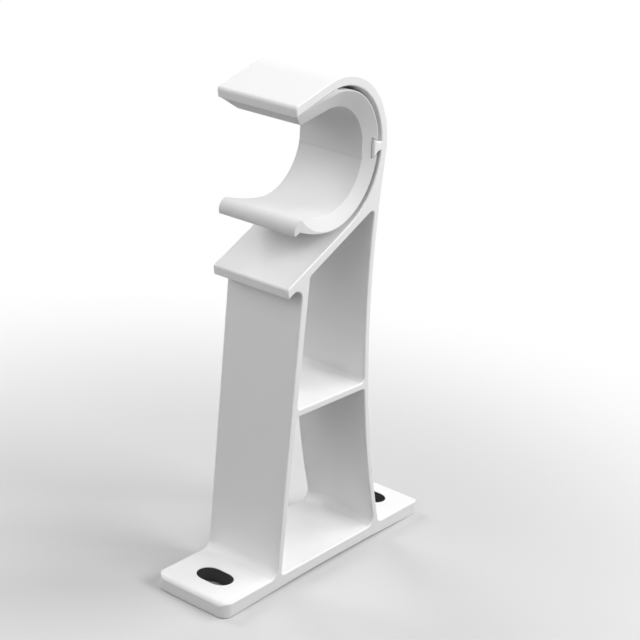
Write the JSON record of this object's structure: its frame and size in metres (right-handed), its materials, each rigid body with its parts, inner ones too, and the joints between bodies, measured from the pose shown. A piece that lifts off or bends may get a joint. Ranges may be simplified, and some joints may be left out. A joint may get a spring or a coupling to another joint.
{
  "type": "curtain pole bracket",
  "caption": "Open-hook bracket for a curtain pole: a box-section aluminium stand on a slotted base, with a plastic liner gripping the pole.",
  "frame": {"origin": "centre of the base's underside, between its two screw slots", "axes": "+Y along the pole, +Z from the base up to the hook, -X out of the mouth of the hook"},
  "size_m": [0.098, 0.025, 0.1465],
  "materials": {
    "powder_coat": "satin",
    "liner_plastic": "satin"
  },
  "bodies": {
    "root": {"bracket": "powder_coat", "liner": "liner_plastic"}
  },
  "joints": []
}
